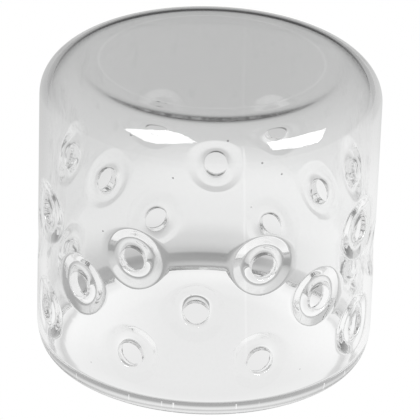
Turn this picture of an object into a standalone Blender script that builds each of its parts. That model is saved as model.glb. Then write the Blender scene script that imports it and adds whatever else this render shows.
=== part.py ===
"""Clear glass protective dome: an upside-down cup with a flat closed end, a
rounded shoulder, a slightly turned-in open rim and three staggered rows of
pierced dimples pushed inwards through its wall.

Units are metres. +Z runs along the axis of the dome towards the closed end.
The origin is the centre of the open rim, in the plane the rim stands on.
The front is -Y, and angles round the dome are counted from it towards +X.

The dimpled wall is a mosaic of cells, one per dimple. Each cell is a closed
loop of quads from its border on the outer face, through the hole, to its
border on the inner face. The closed end and the rim join on above and below.
"""

import math

import bmesh
import bpy

# ---------------------------------------------------------------- wall and end
OUTER_RADIUS = 0.0440  # outside of the straight wall
HEIGHT = 0.0803  # rim plane to the outside of the closed end
WALL = 0.0023  # thickness of the wall
END_THICKNESS = 0.0025  # thickness of the closed end
SHOULDER_WIDTH = 0.0121  # outside round between wall and end, measured across
SHOULDER_DROP = 0.0097  # the same round, measured down
INNER_SHOULDER_WIDTH = 0.0086
INNER_SHOULDER_DROP = 0.0080

# ---------------------------------------------------------------- rim
RIM_TUCK = 0.0031  # how far the outside of the rim turns in
RIM_FLAT = 0.0011  # width of the flat ring the dome stands on
RIM_LIP_RADIUS = 0.0004  # round between that ring and the inside
RIM_RISE = 0.0050  # height at which the inside of the rim has eased out to the wall

# ---------------------------------------------------------------- dimples
DIMPLES_PER_ROW = 8
ROW_HEIGHTS = (0.0154, 0.0296, 0.0423)  # lower, middle, upper row, at the front
ROW_RISES = (0.0, 0.0015, 0.0021)  # how much higher each row is at the back
HOLE_RADIUS = 0.00335
DISH_RADIUS = 0.0083  # shallow dish round the hole in the outer face
DISH_DEPTH = 0.00025
COLLAR_RADIUS = 0.0083  # swelling round the hole on the inner face
COLLAR_CREST = 0.0051  # distance of its highest ring from the hole's axis
COLLAR_SLOPE = math.radians(22.0)  # its slope down to the inner face
CREST_BEND = 0.0034  # radius that rounds the crest
OUTER_LIP_RADIUS = 0.0005
INNER_LIP_RADIUS = 0.0008

# ---------------------------------------------------------------- cells
CELL_REACH = 0.0109  # a cell's border above or below its own dimple
CELL_END = 0.0085  # the same, on the plain side of the outer rows
WALL_BOTTOM = ROW_HEIGHTS[0] - CELL_END  # the dimpled wall meets the rim here
WALL_TOP = ROW_HEIGHTS[2] + ROW_RISES[2] + CELL_END  # and the shoulder here

# ---------------------------------------------------------------- resolution
HALF_PITCH_STEPS = 4  # steps round the dome per half dimple pitch
OUTER_LIP_STEPS = 1
INNER_LIP_STEPS = 1
CREST_STEPS = 2
OUTER_SHOULDER_STEPS = 5
INNER_SHOULDER_STEPS = 4
RIM_OUTER_STEPS = 3
RIM_LIP_STEPS = 1
RIM_INNER_STEPS = 2

PITCH_STEPS = 2 * HALF_PITCH_STEPS
ROUND_STEPS = PITCH_STEPS * DIMPLES_PER_ROW
STEP_ANGLE = 2 * math.pi / ROUND_STEPS
STEP_LENGTH = OUTER_RADIUS * STEP_ANGLE  # one step along the outer face

# Spacing of points round a dimple's rings: 0 keeps the directions of the cell's
# border points, 1 spaces them evenly.
FIRST_EVENNESS = 0.5  # on the outermost ring of either face
EVENNESS_GAIN = 0.25  # added per ring towards the hole, up to 1
BORDER_ROUNDING = 1e7  # border heights that agree to 1 / this share a vertex


def arc(centre_distance, centre_depth, radius, first_turn, last_turn, steps):
    """(distance, depth) points on an arc. Turn 0 is its deepest point, and a
    positive turn leads away from the hole's axis."""
    points = []
    for i in range(steps + 1):
        turn = first_turn + (last_turn - first_turn) * i / steps
        points.append(
            (
                centre_distance + radius * math.sin(turn),
                centre_depth + radius * math.cos(turn),
            )
        )
    return points


def dimple_section():
    """The rings that make one pierced dimple, as (distance from the hole's
    axis, depth below the outer face) pairs: over the shallow outer dish, round
    the outer lip, through the bore, round the inner lip and over the crest of
    the collar down to the inner face."""
    outer_lip = arc(
        HOLE_RADIUS + OUTER_LIP_RADIUS,
        DISH_DEPTH + OUTER_LIP_RADIUS,
        OUTER_LIP_RADIUS,
        math.pi,
        1.5 * math.pi,
        OUTER_LIP_STEPS,
    )

    # The crest arc runs out tangent to the straight slope of the collar.
    slope_start = COLLAR_CREST + CREST_BEND * math.sin(COLLAR_SLOPE)
    slope_depth = WALL + (COLLAR_RADIUS - slope_start) * math.tan(COLLAR_SLOPE)
    crest_depth = slope_depth - CREST_BEND * math.cos(COLLAR_SLOPE)

    # The inner lip is tangent to both the bore and the crest arc.
    lip_distance = HOLE_RADIUS + INNER_LIP_RADIUS
    centre_gap = CREST_BEND - INNER_LIP_RADIUS
    meeting_turn = -math.asin((COLLAR_CREST - lip_distance) / centre_gap)
    inner_lip = arc(
        lip_distance,
        crest_depth + centre_gap * math.cos(meeting_turn),
        INNER_LIP_RADIUS,
        -math.pi / 2,
        meeting_turn,
        INNER_LIP_STEPS,
    )
    crest = arc(
        COLLAR_CREST, crest_depth, CREST_BEND, meeting_turn, COLLAR_SLOPE, CREST_STEPS
    )
    # The first point of the crest is the last of the inner lip.
    return [(DISH_RADIUS, 0.0), *outer_lip, *inner_lip, *crest[1:], (COLLAR_RADIUS, WALL)]


def row_height(row, step):
    """Height of a row, `step` steps round from the front."""
    return ROW_HEIGHTS[row] + ROW_RISES[row] * (0.5 - 0.5 * math.cos(STEP_ANGLE * step))


# The functions below give the height of a cell border, `step` steps round.
def zigzag(lower_row, lower_start, step):
    """Border between a row and the staggered row above it. `lower_start` is a
    step at which the lower row has a dimple."""
    from_lower = (step - lower_start) % PITCH_STEPS
    share = min(from_lower, PITCH_STEPS - from_lower) / HALF_PITCH_STEPS
    above_lower = row_height(lower_row, step) + CELL_REACH
    below_upper = row_height(lower_row + 1, step) - CELL_REACH
    return above_lower * (1 - share) + below_upper * share


def wall_bottom(step):
    return WALL_BOTTOM


def lower_border(step):
    return zigzag(0, HALF_PITCH_STEPS, step)


def upper_border(step):
    return zigzag(1, 0, step)


def wall_top(step):
    return WALL_TOP


# Per row, from the lowest: step of its first dimple, bottom border, top border.
ROW_CELLS = (
    (HALF_PITCH_STEPS, wall_bottom, lower_border),
    (0, lower_border, upper_border),
    (HALF_PITCH_STEPS, upper_border, wall_top),
)


def cell_outline(centre_step, bottom, top, side_steps):
    """A cell's border as (step, height) pairs: along the bottom, up the side
    with the higher step, back along the top and down the other side."""
    first = centre_step - HALF_PITCH_STEPS
    last = centre_step + HALF_PITCH_STEPS
    first_side = top(first) - bottom(first)
    last_side = top(last) - bottom(last)
    outline = [(step, bottom(step)) for step in range(first, last)]
    outline += [
        (last, bottom(last) + last_side * i / side_steps) for i in range(side_steps)
    ]
    outline += [(step, top(step)) for step in range(last, first, -1)]
    outline += [
        (first, top(first) - first_side * i / side_steps) for i in range(side_steps)
    ]
    return outline


def outline_directions(outline, centre_step, centre_height):
    """Direction of each outline point from the dimple's centre on the unrolled
    outer face, and the evenly spaced directions that fit them best."""
    directions = [
        math.atan2(height - centre_height, (step - centre_step) * STEP_LENGTH)
        for step, height in outline
    ]
    count = len(outline)
    for i in range(1, count):
        while directions[i] < directions[i - 1]:
            directions[i] += 2 * math.pi
    spacing = 2 * math.pi / count
    start = sum(directions[i] - spacing * i for i in range(count)) / count
    return directions, [start + spacing * i for i in range(count)]


class Dome:
    """The mesh under construction, with the border vertices its parts share."""

    def __init__(self):
        self.mesh = bmesh.new()
        self.shared = {}

    def point(self, radius, angle, height):
        return self.mesh.verts.new(
            (radius * math.sin(angle), -radius * math.cos(angle), height)
        )

    def border(self, inset, step, height):
        """A vertex on the border of a cell, made once for all that meet there."""
        key = (inset, step % ROUND_STEPS, round(height * BORDER_ROUNDING))
        if key not in self.shared:
            self.shared[key] = self.point(OUTER_RADIUS - inset, STEP_ANGLE * step, height)
        return self.shared[key]

    def border_ring(self, inset, height):
        return [self.border(inset, step, height) for step in range(ROUND_STEPS)]

    def round_ring(self, radius, height):
        return [
            self.point(radius, STEP_ANGLE * step, height) for step in range(ROUND_STEPS)
        ]

    def skin(self, rings):
        """Quads between each ring and the next."""
        for first, second in zip(rings, rings[1:]):
            count = len(first)
            for i in range(count):
                j = (i + 1) % count
                self.mesh.faces.new((first[i], first[j], second[j], second[i]))

    def cell(self, centre_step, centre_height, outline):
        """One dimple and the wall round it, on both faces."""
        directions, even_directions = outline_directions(
            outline, centre_step, centre_height
        )
        centre_angle = STEP_ANGLE * centre_step
        section = dimple_section()
        rings = [[self.border(0.0, step, height) for step, height in outline]]
        for i, (distance, depth) in enumerate(section):
            rings_from_end = min(i, len(section) - 1 - i)
            evenness = min(1.0, FIRST_EVENNESS + EVENNESS_GAIN * rings_from_end)
            ring = []
            for direction, even in zip(directions, even_directions):
                turn = direction * (1 - evenness) + even * evenness
                ring.append(
                    self.point(
                        OUTER_RADIUS - depth,
                        centre_angle + distance * math.cos(turn) / OUTER_RADIUS,
                        centre_height + distance * math.sin(turn),
                    )
                )
            rings.append(ring)
        rings.append([self.border(WALL, step, height) for step, height in outline])
        self.skin(rings)

    def dimpled_wall(self):
        for row, (first_step, bottom, top) in enumerate(ROW_CELLS):
            # All cells of a row divide their sides alike, so that neighbours join.
            corner = first_step + HALF_PITCH_STEPS
            side_steps = max(1, round((top(corner) - bottom(corner)) / STEP_LENGTH))
            for k in range(DIMPLES_PER_ROW):
                step = first_step + PITCH_STEPS * k
                outline = cell_outline(step, bottom, top, side_steps)
                self.cell(step, row_height(row, step), outline)

    def end_face(self, inset, end_height, width, drop, steps):
        """One face of the closed end, with its shoulder, from the top of the
        dimpled wall. The shoulder is a quarter ellipse."""
        side = OUTER_RADIUS - inset
        rings = [self.border_ring(inset, WALL_TOP)]
        for i in range(steps + 1):
            turn = math.pi / 2 * i / steps
            rings.append(
                self.round_ring(
                    side - width * (1 - math.cos(turn)),
                    end_height - drop * (1 - math.sin(turn)),
                )
            )
        self.skin(rings)
        self.mesh.faces.new(rings[-1])

    def closed_end(self):
        self.end_face(
            inset=0.0,
            end_height=HEIGHT,
            width=SHOULDER_WIDTH,
            drop=SHOULDER_DROP,
            steps=OUTER_SHOULDER_STEPS,
        )
        self.end_face(
            inset=WALL,
            end_height=HEIGHT - END_THICKNESS,
            width=INNER_SHOULDER_WIDTH,
            drop=INNER_SHOULDER_DROP,
            steps=INNER_SHOULDER_STEPS,
        )

    def rim(self):
        """From the bottom of the dimpled wall round the turned-in rim."""
        flat_outer = OUTER_RADIUS - RIM_TUCK
        flat_inner = flat_outer - RIM_FLAT
        throat = flat_inner - RIM_LIP_RADIUS
        inner_wall = OUTER_RADIUS - WALL
        rings = [self.border_ring(0.0, WALL_BOTTOM)]

        # Outside: a quarter ellipse down to the ring the dome stands on.
        for i in range(1, RIM_OUTER_STEPS + 1):
            turn = math.pi / 2 * i / RIM_OUTER_STEPS
            rings.append(
                self.round_ring(
                    flat_outer + RIM_TUCK * math.cos(turn),
                    WALL_BOTTOM * (1 - math.sin(turn)),
                )
            )

        # The flat ring, then the lip up to the throat.
        for i in range(RIM_LIP_STEPS + 1):
            turn = math.pi / 2 * i / RIM_LIP_STEPS
            rings.append(
                self.round_ring(
                    throat + RIM_LIP_RADIUS * (1 - math.sin(turn)),
                    RIM_LIP_RADIUS * (1 - math.cos(turn)),
                )
            )

        # Inside: a smooth S-curve out to the inner face of the wall.
        for i in range(1, RIM_INNER_STEPS + 1):
            share = i / RIM_INNER_STEPS
            ease = share * share * (3 - 2 * share)
            rings.append(
                self.round_ring(
                    throat + (inner_wall - throat) * ease,
                    RIM_LIP_RADIUS + (RIM_RISE - RIM_LIP_RADIUS) * share,
                )
            )
        rings.append(self.border_ring(WALL, WALL_BOTTOM))
        self.skin(rings)


def dome_mesh(name):
    dome = Dome()
    dome.dimpled_wall()
    dome.closed_end()
    dome.rim()
    bmesh.ops.recalc_face_normals(dome.mesh, faces=dome.mesh.faces[:])
    mesh = bpy.data.meshes.new(name)
    dome.mesh.to_mesh(mesh)
    dome.mesh.free()
    for face in mesh.polygons:
        face.use_smooth = True
    return mesh


def clear_glass():
    """Polished, fully transmitting glass with a near-white tint."""
    material = bpy.data.materials.new("clear_glass")
    material.use_nodes = True
    inputs = material.node_tree.nodes["Principled BSDF"].inputs
    inputs["Base Color"].default_value = (0.93, 0.95, 0.95, 1.0)
    inputs["Roughness"].default_value = 0.02
    inputs["IOR"].default_value = 1.47
    inputs["Transmission Weight"].default_value = 1.0
    return material


def main():
    for old in list(bpy.data.objects):
        bpy.data.objects.remove(old, do_unlink=True)
    mesh = dome_mesh("glass_dome")
    mesh.materials.append(clear_glass())
    dome = bpy.data.objects.new("glass_dome", mesh)
    bpy.context.scene.collection.objects.link(dome)


main()
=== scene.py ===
"""A clear glass dome on a pale floor. Its axis is Z, its open rim rests at z = 0 and its closed end
is up. The front is -Y and the right is +X. Three rows of eight holes go through the wall, each in
a shallow dish outside and in a swollen collar inside."""
import math
from types import SimpleNamespace

import bmesh
import bpy
from mathutils import Matrix, Vector


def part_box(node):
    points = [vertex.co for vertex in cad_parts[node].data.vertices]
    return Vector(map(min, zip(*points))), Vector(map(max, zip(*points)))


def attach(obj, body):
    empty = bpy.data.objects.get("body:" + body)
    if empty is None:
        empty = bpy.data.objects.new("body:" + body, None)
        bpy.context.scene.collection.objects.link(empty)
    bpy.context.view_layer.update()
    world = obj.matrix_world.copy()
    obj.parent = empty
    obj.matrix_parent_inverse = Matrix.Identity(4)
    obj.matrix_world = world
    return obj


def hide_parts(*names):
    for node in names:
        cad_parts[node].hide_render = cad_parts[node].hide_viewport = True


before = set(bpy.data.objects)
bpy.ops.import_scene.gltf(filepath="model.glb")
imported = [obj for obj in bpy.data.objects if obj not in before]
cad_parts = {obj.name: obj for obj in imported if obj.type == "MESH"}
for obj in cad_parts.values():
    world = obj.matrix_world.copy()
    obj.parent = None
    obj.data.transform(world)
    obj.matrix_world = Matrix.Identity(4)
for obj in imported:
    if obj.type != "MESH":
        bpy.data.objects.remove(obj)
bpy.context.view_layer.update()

MM = 1000.0  # millimetres in a metre

# ------------------------------------------------------------------ sizes of the dome (m)
LOW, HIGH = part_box("glass_dome")
OUTER_RADIUS = (HIGH.x - LOW.x) / 2
HEIGHT = HIGH.z - LOW.z
WALL = 0.0023
END_THICKNESS = 0.0025
FACE_DEPTH = {"outer": 0.0, "inner": WALL}

# The rounded shoulder between the wall and the closed end
SHOULDER_WIDTH = 0.0121
SHOULDER_DROP = 0.0097
INNER_SHOULDER_WIDTH = 0.0086
INNER_SHOULDER_DROP = 0.0080

# The rim: rounded outside, flat below, with a small lip inside
RIM_TUCK = 0.0031
RIM_FLAT = 0.0011
RIM_LIP_RADIUS = 0.0004
RIM_RISE = 0.0050

# The rows of dimples, from the lowest up
DIMPLES_PER_ROW = 8
ROW_HEIGHTS = (0.0154, 0.0296, 0.0423)  # at the front
ROW_RISES = (0.0, 0.0015, 0.0021)  # how much higher each row lies at the back
ROW_TURNS = (1, 0, 1)  # half pitches by which each row is turned from the front
CELL_REACH = 0.0109  # from a row to the nearest corners of its cells
CELL_END = 0.0085  # from the outermost rows to the edge of the dimpled band

# One dimple
HOLE_RADIUS = 0.00335
DISH_RADIUS = 0.0083
DISH_DEPTH = 0.00025
COLLAR_RADIUS = 0.0083
COLLAR_CREST = 0.0051
COLLAR_SLOPE = math.radians(22.0)
CREST_BEND = 0.0034
OUTER_LIP_RADIUS = 0.0005
INNER_LIP_RADIUS = 0.0008

# Steps of the mesh
HALF_PITCH_STEPS = 16
PLAIN_STEPS = 5
DISH_STEPS = 7
OUTER_LIP_STEPS = 7
BORE_STEPS = 2
INNER_LIP_STEPS = 8
CREST_STEPS = 12
CONE_STEPS = 4
EVENING_RINGS = 8  # rings over which the points of a dimple become evenly spaced
SHOULDER_STEPS = 28
RIM_OUTER_STEPS = 16
RIM_FLAT_STEPS = 2
RIM_LIP_STEPS = 6
RIM_INNER_STEPS = 12
WALL_STEPS = 6
END_RINGS = (0.85, 0.6, 0.3, 0.1)  # shares of the radius of the flat end

PITCH = 2 * math.pi / DIMPLES_PER_ROW
SIDE_STEP = OUTER_RADIUS * PITCH / (2 * HALF_PITCH_STEPS)
ROUND_STEPS = 2 * HALF_PITCH_STEPS * DIMPLES_PER_ROW
BAND_BOTTOM = ROW_HEIGHTS[0] - CELL_END
BAND_TOP = ROW_HEIGHTS[2] + ROW_RISES[2] + CELL_END


# ------------------------------------------------------------------ mesh of the dome
def arc(distance, depth, radius, start, end, steps, first=0):
    """Section points on an arc round (distance, depth), its turn counted from straight inward."""
    turns = [start + (end - start) * i / steps for i in range(first, steps + 1)]
    return [(distance + radius * math.sin(t), depth + radius * math.cos(t)) for t in turns]


def dimple_section():
    """(distance from the hole's axis, depth below the outer face): the outer dish, the lip of the
    hole, its bore, and the collar that swells from the inner face."""
    section = []
    dish_end = HOLE_RADIUS + OUTER_LIP_RADIUS
    for i in range(DISH_STEPS):
        share = i / DISH_STEPS
        section.append((DISH_RADIUS + (dish_end - DISH_RADIUS) * share,
                        DISH_DEPTH * (3 - 2 * share) * share ** 2))
    for i in range(OUTER_LIP_STEPS + 1):
        turn = math.pi / 2 * i / OUTER_LIP_STEPS
        section.append((dish_end - OUTER_LIP_RADIUS * math.sin(turn),
                        DISH_DEPTH + OUTER_LIP_RADIUS * (1 - math.cos(turn))))

    # the crest's bend meets the straight cone on one side and the inner lip on the other
    cone_end = COLLAR_CREST + CREST_BEND * math.sin(COLLAR_SLOPE)
    cone_depth = WALL + (COLLAR_RADIUS - cone_end) * math.tan(COLLAR_SLOPE)
    bend_depth = cone_depth - CREST_BEND * math.cos(COLLAR_SLOPE)
    lip_distance = HOLE_RADIUS + INNER_LIP_RADIUS
    lip_turn = math.asin((COLLAR_CREST - lip_distance) / (CREST_BEND - INNER_LIP_RADIUS))
    lip_depth = bend_depth + (CREST_BEND - INNER_LIP_RADIUS) * math.cos(lip_turn)

    bore_start = DISH_DEPTH + OUTER_LIP_RADIUS
    for i in range(1, BORE_STEPS):
        section.append((HOLE_RADIUS, bore_start + (lip_depth - bore_start) * i / BORE_STEPS))
    section += arc(lip_distance, lip_depth, INNER_LIP_RADIUS,
                   start=-math.pi / 2, end=-lip_turn, steps=INNER_LIP_STEPS)
    section += arc(COLLAR_CREST, bend_depth, CREST_BEND,
                   start=-lip_turn, end=COLLAR_SLOPE, steps=CREST_STEPS, first=1)
    for i in range(1, CONE_STEPS + 1):
        share = i / CONE_STEPS
        section.append((cone_end + (COLLAR_RADIUS - cone_end) * share,
                        cone_depth + (WALL - cone_depth) * share))
    return section


def row_height(row, step):
    rise_share = 0.5 - 0.5 * math.cos(2 * math.pi * step / ROUND_STEPS)
    return ROW_HEIGHTS[row] + ROW_RISES[row] * rise_share


def border_height(border, step):
    """Height of a border of the cells; row n lies between borders n and n + 1. The outermost
    borders are level and the others zigzag."""
    if border == 0:
        return BAND_BOTTOM
    if border == len(ROW_HEIGHTS):
        return BAND_TOP
    lower_row = border - 1
    from_lower = (step - ROW_TURNS[lower_row] * HALF_PITCH_STEPS) % (2 * HALF_PITCH_STEPS)
    share = min(from_lower, 2 * HALF_PITCH_STEPS - from_lower) / HALF_PITCH_STEPS
    return ((row_height(lower_row, step) + CELL_REACH) * (1 - share)
            + (row_height(border, step) - CELL_REACH) * share)


def cell_outline(row, centre_step):
    """(step, height) points round one cell, from its lower left corner."""
    def bottom(step):
        return border_height(row, step)

    def top(step):
        return border_height(row + 1, step)

    # the first cells' corners set the count for the whole row
    corner = HALF_PITCH_STEPS * (1 + ROW_TURNS[row])
    side_steps = max(1, round((top(corner) - bottom(corner)) / SIDE_STEP))
    left = centre_step - HALF_PITCH_STEPS
    right = centre_step + HALF_PITCH_STEPS
    left_side = top(left) - bottom(left)
    right_side = top(right) - bottom(right)
    outline = [(step, bottom(step)) for step in range(left, right)]
    outline += [(right, bottom(right) + right_side * i / side_steps) for i in range(side_steps)]
    outline += [(step, top(step)) for step in range(right, left, -1)]
    outline += [(left, top(left) - left_side * i / side_steps) for i in range(side_steps)]
    return outline


class Dome:
    """The mesh, and the border points that its neighbouring parts share."""

    def __init__(self):
        self.mesh = bmesh.new()
        self.shared = {}

    def point(self, radius, angle, height):
        return self.mesh.verts.new((radius * math.sin(angle), -radius * math.cos(angle), height))

    def border(self, face, step, height):
        key = (face, step % ROUND_STEPS, round(height * 1e7))
        if key not in self.shared:
            radius = OUTER_RADIUS - FACE_DEPTH[face]
            self.shared[key] = self.point(radius, 2 * math.pi * step / ROUND_STEPS, height)
        return self.shared[key]

    def border_ring(self, face, height):
        return [self.border(face, step, height) for step in range(ROUND_STEPS)]

    def round_ring(self, radius, height):
        return [self.point(radius, 2 * math.pi * step / ROUND_STEPS, height)
                for step in range(ROUND_STEPS)]

    def join(self, rings):
        for first, second in zip(rings, rings[1:]):
            count = len(first)
            for i in range(count):
                j = (i + 1) % count
                self.mesh.faces.new((first[i], first[j], second[j], second[i]))

    def cell(self, row, centre_step):
        """One dimple and the wall round it, from the outer face through the hole to the inner."""
        centre_height = row_height(row, centre_step)
        centre_angle = 2 * math.pi * centre_step / ROUND_STEPS
        outline = cell_outline(row, centre_step)
        count = len(outline)
        away = [((step - centre_step) * 2 * math.pi / ROUND_STEPS * OUTER_RADIUS,
                 height - centre_height) for step, height in outline]
        sweep = [math.atan2(up, along) for along, up in away]
        for i in range(1, count):
            while sweep[i] < sweep[i - 1]:
                sweep[i] += 2 * math.pi
        start = sum(sweep[i] - 2 * math.pi * i / count for i in range(count)) / count
        even = [start + 2 * math.pi * i / count for i in range(count)]

        def place(along, up, depth):
            return self.point(OUTER_RADIUS - depth, centre_angle + along / OUTER_RADIUS,
                              centre_height + up)

        def turn_of(i, evenness):
            return sweep[i] * (1 - evenness) + even[i] * evenness

        def ring(distance, depth, evenness):
            turns = [turn_of(i, evenness) for i in range(count)]
            return [place(distance * math.cos(t), distance * math.sin(t), depth) for t in turns]

        def plain(share, depth, radius):
            """A ring on the smooth wall, this share of the way from the outline to the radius."""
            made = []
            for i, (along, up) in enumerate(away):
                turn = turn_of(i, 0.5)
                made.append(place(along * (1 - share) + radius * math.cos(turn) * share,
                                  up * (1 - share) + radius * math.sin(turn) * share, depth))
            return made

        section = dimple_section()
        rings = [[self.border("outer", step, height) for step, height in outline]]
        rings += [plain(i / PLAIN_STEPS, 0.0, DISH_RADIUS) for i in range(1, PLAIN_STEPS)]
        for i, (distance, depth) in enumerate(section):
            from_end = min(i, len(section) - 1 - i)
            rings.append(ring(distance, depth, min(1.0, 0.5 + 0.5 * from_end / EVENING_RINGS)))
        rings += [plain(i / PLAIN_STEPS, WALL, COLLAR_RADIUS)
                  for i in range(PLAIN_STEPS - 1, 0, -1)]
        rings.append([self.border("inner", step, height) for step, height in outline])
        self.join(rings)

    def closed_end(self):
        """Both faces of the upper wall, the shoulder and the flat end."""
        for face, end, width, drop in (
                ("outer", HEIGHT, SHOULDER_WIDTH, SHOULDER_DROP),
                ("inner", HEIGHT - END_THICKNESS, INNER_SHOULDER_WIDTH, INNER_SHOULDER_DROP)):
            side = OUTER_RADIUS - FACE_DEPTH[face]
            rings = [self.border_ring(face, BAND_TOP)]
            for i in range(1, WALL_STEPS):
                height = BAND_TOP + (end - drop - BAND_TOP) * i / WALL_STEPS
                rings.append(self.round_ring(side, height))
            for i in range(SHOULDER_STEPS + 1):
                turn = math.pi / 2 * i / SHOULDER_STEPS
                rings.append(self.round_ring(side - width * (1 - math.cos(turn)),
                                             end - drop * (1 - math.sin(turn))))
            rings += [self.round_ring((side - width) * share, end) for share in END_RINGS]
            self.join(rings)
            self.mesh.faces.new(rings[-1])

    def rim(self):
        """From the outer face below the dimples, round under the rim, to the inner face."""
        flat_outer = OUTER_RADIUS - RIM_TUCK
        throat = flat_outer - RIM_FLAT - RIM_LIP_RADIUS
        inner_wall = OUTER_RADIUS - WALL
        rings = [self.border_ring("outer", BAND_BOTTOM)]
        for i in range(1, RIM_OUTER_STEPS + 1):
            turn = math.pi / 2 * i / RIM_OUTER_STEPS
            rings.append(self.round_ring(flat_outer + RIM_TUCK * math.cos(turn),
                                         BAND_BOTTOM * (1 - math.sin(turn))))
        for i in range(1, RIM_FLAT_STEPS + 1):
            rings.append(self.round_ring(flat_outer - RIM_FLAT * i / RIM_FLAT_STEPS, 0.0))
        for i in range(1, RIM_LIP_STEPS + 1):
            turn = math.pi / 2 * i / RIM_LIP_STEPS
            rings.append(self.round_ring(throat + RIM_LIP_RADIUS * (1 - math.sin(turn)),
                                         RIM_LIP_RADIUS * (1 - math.cos(turn))))
        for i in range(1, RIM_INNER_STEPS + 1):
            share = i / RIM_INNER_STEPS
            ease = share * share * (3 - 2 * share)
            rings.append(self.round_ring(throat + (inner_wall - throat) * ease,
                                         RIM_LIP_RADIUS + (RIM_RISE - RIM_LIP_RADIUS) * share))
        rings.append(self.border_ring("inner", BAND_BOTTOM))
        self.join(rings)


def dome_mesh(name):
    dome = Dome()
    for k in range(DIMPLES_PER_ROW):
        for row, half_pitches in enumerate(ROW_TURNS):
            dome.cell(row, (2 * k + half_pitches) * HALF_PITCH_STEPS)
    dome.closed_end()
    dome.rim()
    bmesh.ops.recalc_face_normals(dome.mesh, faces=dome.mesh.faces[:])
    mesh = bpy.data.meshes.new(name)
    dome.mesh.to_mesh(mesh)
    dome.mesh.free()
    mesh.shade_smooth()
    return mesh


# ------------------------------------------------------------------ shader helpers
class Value:
    """An output of a shader node. Working with it as with a number adds maths nodes."""

    def __init__(self, shader, socket):
        self.shader = shader
        self.socket = socket

    def maths(self, operation, *others):
        return self.shader.maths(operation, self, *others)

    def __add__(self, other):
        return self.maths("ADD", other)

    def __radd__(self, other):
        return self.shader.maths("ADD", other, self)

    def __sub__(self, other):
        return self.maths("SUBTRACT", other)

    def __rsub__(self, other):
        return self.shader.maths("SUBTRACT", other, self)

    def __mul__(self, other):
        return self.maths("MULTIPLY", other)

    def __truediv__(self, other):
        return self.maths("DIVIDE", other)

    def __rtruediv__(self, other):
        return self.shader.maths("DIVIDE", other, self)

    def __gt__(self, other):
        return self.maths("GREATER_THAN", other)

    def __lt__(self, other):
        return self.maths("LESS_THAN", other)

    def __abs__(self):
        return self.maths("ABSOLUTE")

    def clamped(self):
        """Keep the result of the last maths node between 0 and 1."""
        self.socket.node.use_clamp = True
        return self

    def rise(self, low, high):
        """0 below low, 1 above high, and smooth between them."""
        return self.shader.value("MapRange", "Result",
                                 {"Value": self, "From Min": low, "From Max": high},
                                 interpolation_type="SMOOTHSTEP")

    def line(self, half_width):
        """1 where this offset is 0, falling smoothly to 0 at half_width from there."""
        return (1.0 - abs(self) / half_width).clamped().maths("SMOOTH_MIN", 1.0, 0.3)


class Shader:
    """The emptied node tree of a material or world. Kinds are without "ShaderNode", and inputs
    go by name or index, each with a number, a colour or a Value."""

    def __init__(self, owner):
        owner.use_nodes = True
        self.tree = owner.node_tree
        self.tree.nodes.clear()

    def node(self, kind, inputs=None, **settings):
        made = self.tree.nodes.new("ShaderNode" + kind)
        for key, setting in settings.items():
            setattr(made, key, setting)
        for key, value in (inputs or {}).items():
            if isinstance(value, Value):
                self.tree.links.new(value.socket, made.inputs[key])
            else:
                made.inputs[key].default_value = value
        return made

    def value(self, kind, output=0, inputs=None, **settings):
        return Value(self, self.node(kind, inputs, **settings).outputs[output])

    def values(self, kind, outputs, inputs=None, **settings):
        made = self.node(kind, inputs, **settings)
        return [Value(self, made.outputs[output]) for output in outputs]

    def maths(self, operation, *values):
        return self.value("Math", 0, dict(enumerate(values)), operation=operation)

    def split(self, vector):
        return self.values("SeparateXYZ", "XYZ", {0: vector})

    def join(self, *parts):
        return self.value("CombineXYZ", 0, dict(enumerate(parts)))

    def noise(self, vector, scale, detail):
        """Noise about 0."""
        inputs = {"Scale": scale, "Detail": detail, "Vector": vector}
        return self.value("TexNoise", "Fac", inputs) - 0.5

    def cells(self, dimensions, scale, **vector):
        """A random number for each Voronoi cell, and the distance from its point."""
        colour, distance = self.values("TexVoronoi", ("Color", "Distance"),
                                       {"Scale": scale, **vector}, voronoi_dimensions=dimensions)
        return self.value("SeparateColor", 0, {0: colour}), distance

    def mix_number(self, share, first, second):
        return self.value("Mix", 0, {0: share, 2: first, 3: second}, data_type="FLOAT")

    def mix_colour(self, share, first, second):
        return self.value("Mix", 2, {0: share, 6: first, 7: second}, data_type="RGBA")

    def mix_shader(self, share, first, second):
        return self.value("MixShader", 0, {0: share, 1: first, 2: second})


def from_axis(x, y):
    return (x * x + y * y).maths("SQRT")


def azimuth_of(x, y):
    """Radians from the front (-Y) towards the right (+X)."""
    return x.maths("ARCTAN2", y * -1.0)


# ------------------------------------------------------------------ glass
# Heights of the marks in the glass, in micrometres
RIPPLE = 12.0
GRAIN = 0.8
STREAK = 1.2
DRAW_LINE = 7.0
END_RING = -6.0
RIM_MARKS = 6.0

# Places of the marks (mm)
DRAW_TOP = 76.0  # the height at which the draw line has the azimuth DRAW_AZIMUTH
DRAW_AZIMUTH = math.radians(13.9)
DRAW_SLANT = 0.0010  # radians for each mm down
END_RING_RADIUS = 29.0
TOP_LINE_X = 8.2
TOP_LINE_SLANT = 0.043  # mm towards -X for each mm towards +Y
# Bands of height or radius (mm) across which a share rises from 0 to 1
STREAKS_FADE = (66.0, 79.0)
OUTER_FACE_RADII = (42.9, 43.1)
ABOVE_RIM = (2.5, 5.0)
SHOULDER_START = (60.0, 66.0)
DRAW_START = (8.0, 26.0)
DRAW_RADII = (41.9, 42.2)
END_FACE = (79.9, 80.1)
RIM_EDGE = (0.3, 2.2)

LINE_PAINTED_GLOW = 0.04  # painted glow standing in for light scattered by the draw line, the line across the end and its ring
TOP_LINE_SHARE = 0.45  # how strong the painted glow of the line across the end is beside the others
HAZE = 0.02  # how much light the faint haze takes where it is thickest
CLEAN_TINT = (0.998, 1.0, 0.999)
BUBBLE_TINT = (0.16, 0.16, 0.16, 1)
GLASS_IOR = 1.47
RIM_ROUGHNESS = 0.03
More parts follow.
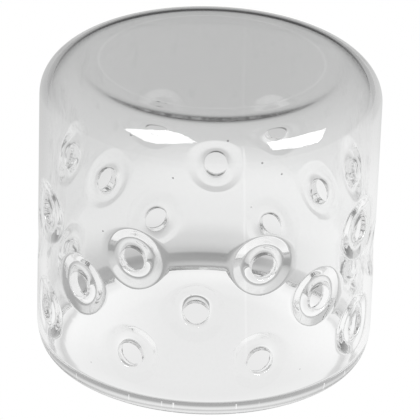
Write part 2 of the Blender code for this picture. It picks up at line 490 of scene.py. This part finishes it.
# Light that meets the glass more often than this is replaced by a painted glow of the wall, and
# of its rim and shoulder.
WALL_PASSES = 9
WALL_GLOW = 0.72
EDGE_GLOW = 0.22
EDGE_UNEVENNESS = EDGE_GLOW * 2.5
EDGE_DARKEST = -0.15  # the least value of the noise in the edge's glow

# Small bubbles in the front wall: where they lie on the outer face (mm)
SEEDS = ((-24.3, -36.7, 48.4), (15.1, -41.2, 71.8), (20.0, -39.2, 68.1),
         (6.4, -40.5, 77.0), (-17.7, -38.0, 76.0), (-6.7, -43.5, 67.5))
SEED_RADIUS = 0.34
# Smaller bubbles all round: the random number a cell must pass to have one, where its edge
# fades (in cell distances), and its darkness
TINY_RARITY = 0.9
TINY_EDGE = (0.008, 0.018)
TINY_DARKNESS = 0.7


def glass_places(shader):
    """Places in the glass, in mm and radians, and the shares of its outer face and rim edge."""
    metres = shader.value("TexCoord", "Object")
    spot = shader.value("VectorMath", 0, {"Scale": MM, 0: metres}, operation="SCALE")
    x, y, z = shader.split(spot)
    radius = from_axis(x, y)
    turn = azimuth_of(x, y)
    return SimpleNamespace(spot=spot, x=x, y=y, z=z, radius=radius, turn=turn,
                           arc=turn * (OUTER_RADIUS * MM),
                           outer=radius.rise(*OUTER_FACE_RADII),
                           rim_edge=1.0 - z.rise(*RIM_EDGE))


def painted_wall_glow(shader, at):
    """Painted glow standing in for light that has been passed on many times inside the wall: even
    in the middle of the wall, and uneven near the rim and the shoulder.
    """
    middle = at.z.rise(*ABOVE_RIM) * (1.0 - at.z.rise(*SHOULDER_START))
    uneven = shader.noise(at.spot, scale=0.8, detail=1.0).maths("MAXIMUM", EDGE_DARKEST)
    edges = (uneven * EDGE_UNEVENNESS + EDGE_GLOW) * (1.0 - middle)
    return shader.value("Emission", 0, {"Strength": edges + middle * WALL_GLOW})


def glass_lines(at):
    """Shares of the draw line, of the ring on the end and of the line across the end. All three
    carry a painted glow; the line across the end has no other mark.
    """
    slant = (DRAW_TOP - at.z) * DRAW_SLANT
    draw_offset = (at.turn - (slant + DRAW_AZIMUTH)) * (OUTER_RADIUS * MM)
    drawn = draw_offset.line(half_width=0.45)
    drawn = drawn * (at.z.rise(*DRAW_START) * at.radius.rise(*DRAW_RADII))
    ring = (at.radius - END_RING_RADIUS).line(half_width=0.5) * at.z.rise(*END_FACE)
    # the line across the end is drawn only as painted glow
    across = (at.x + at.y * TOP_LINE_SLANT - TOP_LINE_X).line(half_width=0.4)
    across = across * (at.z.rise(*END_FACE) * TOP_LINE_SHARE)
    return drawn, ring, across


def glass_normal(shader, at, drawn, ring):
    ripples = shader.noise(at.spot, scale=0.07, detail=1.0) * RIPPLE
    grain = shader.noise(at.spot, scale=0.45, detail=2.0) * GRAIN
    # drawn out along the height, and different on the two faces
    stretched = shader.join(at.arc, at.z * 0.012, at.outer * 7.0)
    wall = 1.0 - at.z.rise(*STREAKS_FADE)
    streaks = shader.noise(stretched, scale=0.8, detail=2.0) * wall * STREAK
    chipped = shader.noise(at.spot, scale=0.8, detail=1.0) * at.rim_edge * RIM_MARKS
    micrometres = ripples + grain + streaks + drawn * DRAW_LINE + ring * END_RING + chipped
    return shader.value("Bump", "Normal",
                        {"Strength": 1.0, "Distance": 1.0, "Height": micrometres * 1e-6})


def glass_colour(shader, at, drawn, ring):
    """Dark bubbles in a very faint haze, clearer along the draw line and the ring of the end."""
    gaps = [shader.value("VectorMath", "Value", {0: at.spot, 1: seed}, operation="DISTANCE")
            for seed in SEEDS]
    bubbles = sum(1.0 - gap.rise(SEED_RADIUS * 0.5, SEED_RADIUS) for gap in gaps)
    pick, distance = shader.cells("2D", scale=0.07, Vector=shader.join(at.arc, at.z))
    few = (pick > TINY_RARITY) * at.outer
    tiny = 1.0 - distance.rise(*TINY_EDGE)
    bubbles = (bubbles + tiny * few * TINY_DARKNESS).clamped()

    clear = (drawn + ring).clamped()
    haze = (shader.noise(at.spot, scale=1.1, detail=2.0) * 2.0 + 0.5).clamped() * (1.0 - clear)
    hazy_tint = [part - HAZE for part in CLEAN_TINT]
    clean = shader.mix_colour(haze, (*CLEAN_TINT, 1), (*hazy_tint, 1))
    return shader.mix_colour(bubbles, clean, BUBBLE_TINT)


def clear_glass():
    """Clear glass with the marks of its making: slow ripples, fine streaks along the wall, one
    raised draw line, a ring and a line on the closed end, an uneven edge on the rim, and a few
    small bubbles. The draw line, the ring and the line on the end have a faint painted glow, and
    light that has passed the glass many times is replaced by a painted glow of the wall."""
    material = bpy.data.materials.new("clear_glass")
    shader = Shader(material)
    at = glass_places(shader)
    drawn, ring, across = glass_lines(at)
    glass = shader.value("BsdfPrincipled", 0, {
        "Base Color": glass_colour(shader, at, drawn, ring),
        "Roughness": at.rim_edge * RIM_ROUGHNESS,
        "IOR": GLASS_IOR,
        "Normal": glass_normal(shader, at, drawn, ring),
        "Transmission Weight": 1.0,
        "Emission Color": (1, 1, 1, 1),
        # painted glow on the draw line, the ring of the end and the line across the end
        "Emission Strength": (drawn + across + ring).clamped() * LINE_PAINTED_GLOW,
    })
    # past this many passes the glass gives way to the painted wall glow
    passed_on = shader.value("LightPath", "Ray Depth") > WALL_PASSES + 0.5
    surface = shader.mix_shader(passed_on, glass, painted_wall_glow(shader, at))
    shader.node("OutputMaterial", {"Surface": surface})
    return material


# ------------------------------------------------------------------ the piece
dome = bpy.data.objects.new("glass_dome_fine", dome_mesh("glass_dome_fine"))
bpy.context.scene.collection.objects.link(dome)
dome.data.materials.append(clear_glass())
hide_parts("glass_dome")
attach(dome, "root")

# ------------------------------------------------------------------ camera
CAMERA_TARGET = Vector((0, 0, 0.0400))
CAMERA_AZIMUTH, CAMERA_ELEVATION = 2.64, 26.365  # degrees
CAMERA_ROLL = math.radians(1.89)
CAMERA_DISTANCE = 0.9778
CAMERA_RIGHTWARD, CAMERA_DOWNWARD = 0.000635, 0.00211  # shift across the view


def direction(azimuth, elevation):
    """Unit vector at these degrees, the azimuth counted from the front (-Y) towards +X."""
    a, e = math.radians(azimuth), math.radians(elevation)
    return Vector((math.sin(a) * math.cos(e), -math.cos(a) * math.cos(e), math.sin(e)))


def add_camera():
    toward = direction(CAMERA_AZIMUTH, CAMERA_ELEVATION)
    azimuth = math.radians(CAMERA_AZIMUTH)
    level = Vector((math.cos(azimuth), math.sin(azimuth), 0))
    upward = toward.cross(level)
    right = level * math.cos(CAMERA_ROLL) + upward * math.sin(CAMERA_ROLL)
    up = upward * math.cos(CAMERA_ROLL) - level * math.sin(CAMERA_ROLL)
    shift = right * CAMERA_RIGHTWARD - up * CAMERA_DOWNWARD
    place = CAMERA_TARGET + shift + toward * CAMERA_DISTANCE
    camera = bpy.data.objects.new("camera", bpy.data.cameras.new("camera"))
    bpy.context.scene.collection.objects.link(camera)
    camera.data.sensor_width = 36
    camera.data.lens = 322.1
    camera.data.clip_start = 0.05
    camera.data.clip_end = 20
    camera.matrix_world = Matrix((
        (right.x, up.x, toward.x, place.x),
        (right.y, up.y, toward.y, place.y),
        (right.z, up.z, toward.z, place.z),
        (0, 0, 0, 1)))
    bpy.context.scene.camera = camera


add_camera()

# ------------------------------------------------------------------ levels of light
# The sides and their azimuths (degrees): front, right, behind to the right, behind, behind to
# the left, and left. Between them the levels blend.
SIDES = (("F", 0), ("R", 90), ("BR", 140), ("B", 180), ("BL", 220), ("L", 270))
# (distance from the dome's axis in mm, brightness of the floor). These levels are painted light
# and shade, seen only through the glass; the dips are painted shadow of the rim.
FLOOR_NEAR = 24.0  # mm, the distance within which the floor has its centre's level
FLOOR_CENTRE = 0.82
FLOOR = {
    "F": ((30, 0.81), (36, 0.86), (36.9, 0.61), (37.6, 0.58), (38.4, 0.77), (39.4, 0.92),
          (40.4, 0.94), (40.9, 0.38), (42.6, 0.38), (43.8, 0.97), (60, 0.94), (120, 0.88),
          (300, 0.80)),
    "R": ((30, 0.84), (36, 0.86), (36.9, 0.65), (37.6, 0.62), (38.4, 0.78), (39.4, 0.90),
          (40.4, 0.92), (40.9, 0.46), (42.6, 0.46), (43.8, 0.95), (60, 0.96), (120, 0.98),
          (300, 0.90)),
    "BR": ((30, 0.86), (38, 0.90), (40.2, 0.78), (41.5, 0.43), (46, 0.64), (53, 0.86),
           (75, 0.90), (120, 0.88), (200, 0.73), (400, 0.64), (1000, 0.54)),
    "B": ((30, 0.85), (38, 0.92), (40.6, 0.90), (41.6, 0.78), (44, 0.58), (46, 0.31),
          (49, 0.26), (53, 0.45), (60, 0.65), (75, 0.83), (100, 0.87), (140, 0.59),
          (200, 0.60), (300, 0.56), (500, 0.32), (1000, 0.46)),
    "BL": ((30, 0.85), (38, 0.86), (40.2, 0.74), (41.5, 0.42), (46, 0.35), (53, 0.54),
           (75, 0.79), (120, 0.65), (200, 0.60), (400, 0.52), (1000, 0.42)),
    "L": ((30, 0.83), (36, 0.86), (36.9, 0.63), (37.6, 0.60), (38.4, 0.75), (39.4, 0.88),
          (40.4, 0.90), (40.9, 0.41), (42.6, 0.41), (43.8, 0.87), (60, 0.90), (120, 0.85),
          (300, 0.80)),
}
# (elevation in degrees, brightness of the studio)
STUDIO_ZENITH = 0.95
STUDIO = {
    "F": ((0, 0.60), (14, 0.59), (30, 0.64), (45, 0.92)),
    "R": ((0, 0.63), (10, 0.65), (25, 0.68), (45, 0.74)),
    "BR": ((0, 0.13), (8, 0.17), (20, 0.25), (40, 0.45)),
    "B": ((0, 0.36), (4, 0.19), (9, 0.07), (16, 0.07), (22, 0.19), (28, 0.34), (45, 0.52),
          (65, 0.75)),
    "BL": ((0, 0.26), (8, 0.26), (20, 0.34), (40, 0.50)),
    "L": ((0, 0.60), (10, 0.62), (25, 0.66), (45, 0.72)),
}


def ramp_of(shader, value, stops):
    """A smooth ramp through (position, level) stops."""
    made = shader.node("ValToRGB", {0: value})
    ramp = made.color_ramp
    ramp.interpolation = "EASE"
    while len(ramp.elements) > 1:
        ramp.elements.remove(ramp.elements[-1])
    for i, (position, level) in enumerate(stops):
        element = ramp.elements[0] if i == 0 else ramp.elements.new(position)
        element.position = position
        element.color = (level, level, level, 1)
    return Value(shader, made.outputs[0])


def by_side(shader, x, y, position, tables):
    """The sum over the sides of (share of that side) times (its ramp)."""
    turn = (azimuth_of(x, y) / (2 * math.pi) + 1.0).maths("FRACT")
    parts = []
    for i, (side, azimuth) in enumerate(SIDES):
        before = SIDES[i - 1][1] / 360
        after = SIDES[(i + 1) % len(SIDES)][1] / 360
        if i == 0:
            stops = ((0.0, 1.0), (after, 0.0), (before, 0.0), (1.0, 1.0))
        else:
            stops = ((before, 0.0), (azimuth / 360, 1.0), (after or 1.0, 0.0))
        parts.append(ramp_of(shader, turn, stops) * ramp_of(shader, position, tables[side]))
    return sum(parts[1:], parts[0])


# ------------------------------------------------------------------ floor
FLOOR_HALF_SIZE = 3.0
FLOOR_Z = -0.0003
# Inside the dome the floor has painted light towards both sides: bands (m) of distance from the
# middle plane, of y, and of distance from the axis, where it ends
SIDEWAYS = (0.006, 0.032)
SIDEWAYS_Y = (-0.022, 0.006)
SIDEWAYS_END = (0.0345, 0.038)
SIDEWAYS_LIGHT = 0.10
# Small painted glints on the floor under the rim, which show in it as light specks
GLINT_CELLS = 9.0  # possible glints in each radian
GLINT_RARITY = 0.3  # the random number a cell must pass to have one
GLINT_WIDTH = 0.07  # half width in cells, for each unit above that number
GLINT_INNER, GLINT_OUTER = 0.0400, 0.0414
GLINT_LEVEL = 0.95


def floor_material():
    material = bpy.data.materials.new("floor_pale_painted_shade")
    shader = Shader(material)
    x, y, _ = shader.split(shader.value("NewGeometry", "Position"))
    distance = from_axis(x, y)
    # spaced by reciprocals of distance, so that levels close to the rim are well resolved
    near = FLOOR_NEAR / MM
    position = 1.0 - near / distance.maths("MAXIMUM", near)
    tables = {side: [(0.0, FLOOR_CENTRE)] + [(1.0 - FLOOR_NEAR / r, level) for r, level in stops]
              for side, stops in FLOOR.items()}
    # painted light and shade of the floor, blended between the sides
    level = by_side(shader, x, y, position, tables)
    # painted light towards both sides inside the dome
    sideways = (abs(x).rise(*SIDEWAYS) * y.rise(*SIDEWAYS_Y)
                * (1.0 - distance.rise(*SIDEWAYS_END)))
    level = level + sideways * SIDEWAYS_LIGHT

    # painted glints: light specks on the floor just under the rim
    bearing = x.maths("ARCTAN2", y) * GLINT_CELLS
    pick, from_point = shader.cells("1D", scale=1.0, W=bearing)
    glint = from_point < (pick - GLINT_RARITY) * GLINT_WIDTH
    under = (distance > GLINT_INNER) * (distance < GLINT_OUTER)
    level = level.maths("MAXIMUM", glint * under * GLINT_LEVEL)

    # seen directly, the floor is white right up to the rim, and its painted shade shows only inside
    # the dome
    outside = distance > OUTER_RADIUS - RIM_TUCK
    white = outside * shader.value("LightPath", "Is Camera Ray")
    strength = shader.mix_number(white, level, 1.0)
    light = shader.value("Emission", 0, {"Color": (1, 1, 1, 1), "Strength": strength})
    shader.node("OutputMaterial", {"Surface": light})
    return material


def add_object(name, mesh_builder):
    """A new object from a bmesh, which is freed."""
    mesh = bpy.data.meshes.new(name)
    mesh_builder.to_mesh(mesh)
    mesh_builder.free()
    made = bpy.data.objects.new(name, mesh)
    bpy.context.scene.collection.objects.link(made)
    return made


def add_floor():
    grid = bmesh.new()
    bmesh.ops.create_grid(grid, x_segments=1, y_segments=1, size=FLOOR_HALF_SIZE)
    floor = add_object("floor", grid)
    floor.location.z = FLOOR_Z
    floor.data.materials.append(floor_material())


add_floor()


# ------------------------------------------------------------------ studio
def add_studio():
    """Light from all round, which the camera itself sees as white."""
    world = bpy.data.worlds.new("studio")
    bpy.context.scene.world = world
    shader = Shader(world)
    x, y, z = shader.split(shader.value("TexCoord", "Generated"))
    height = (z.maths("ARCSINE") / (math.pi / 2)).clamped()
    tables = {side: [(e / 90.0, level) for e, level in stops] + [(1.0, STUDIO_ZENITH)]
              for side, stops in STUDIO.items()}
    level = by_side(shader, x, y, height, tables)
    strength = shader.mix_number(shader.value("LightPath", "Is Camera Ray"), level, 1.0)
    light = shader.value("Background", 0, {"Strength": strength})
    shader.node("OutputWorld", {"Surface": light})


add_studio()

# Corners of the glowing panels: (azimuth, elevation) in degrees
SOFTBOXES = {
    "softbox_left": ((-77.2, 52.2), (-80.9, 66.8), (-84.5, 75.8), (-50.3, 77.5), (-9.8, 62.5),
                     (-26.0, 51.6), (-37.9, 42.0), (-46.8, 43.0), (-60.1, 48.1)),
    "softbox_right": ((51.6, 52.7), (64.1, 51.0), (76.5, 48.7), (88.0, 45.2), (97.8, 37.3),
                      (89.4, 31.3), (79.2, 18.6), (69.3, 19.7), (58.7, 23.5), (45.9, 30.1)),
}
SOFTBOX_DISTANCE = 1.6
SOFTBOX_STRENGTH = 12.0


def softbox_material(name):
    """Glows only for light straight from the camera or after one reflection, and is clear to
    light that has been inside the glass."""
    material = bpy.data.materials.new(name)
    shader = Shader(material)
    depth, passes = shader.values("LightPath", ("Ray Depth", "Transmission Depth"))
    first = (depth < 1.5) * (passes < 0.5)
    glow = shader.value("Emission", 0, {"Strength": SOFTBOX_STRENGTH})
    surface = shader.mix_shader(first, shader.value("BsdfTransparent"), glow)
    shader.node("OutputMaterial", {"Surface": surface})
    material.use_transparent_shadow = True
    return material


def add_softbox(name, corners):
    """A panel that shows only as a reflection in the outer face of the dome."""
    panel = bmesh.new()
    panel.faces.new([panel.verts.new(direction(azimuth, elevation) * SOFTBOX_DISTANCE)
                     for azimuth, elevation in corners])
    softbox = add_object(name, panel)
    softbox.visible_camera = False
    softbox.visible_shadow = False
    softbox.data.materials.append(softbox_material(name))


for softbox_name, softbox_corners in SOFTBOXES.items():
    add_softbox(softbox_name, softbox_corners)

# ------------------------------------------------------------------ render settings
scene = bpy.context.scene
scene.view_settings.view_transform = "Standard"
scene.view_settings.look = "None"
scene.cycles.max_bounces = 24
scene.cycles.transmission_bounces = 20
scene.cycles.glossy_bounces = 12
scene.cycles.caustics_reflective = True
scene.cycles.caustics_refractive = True
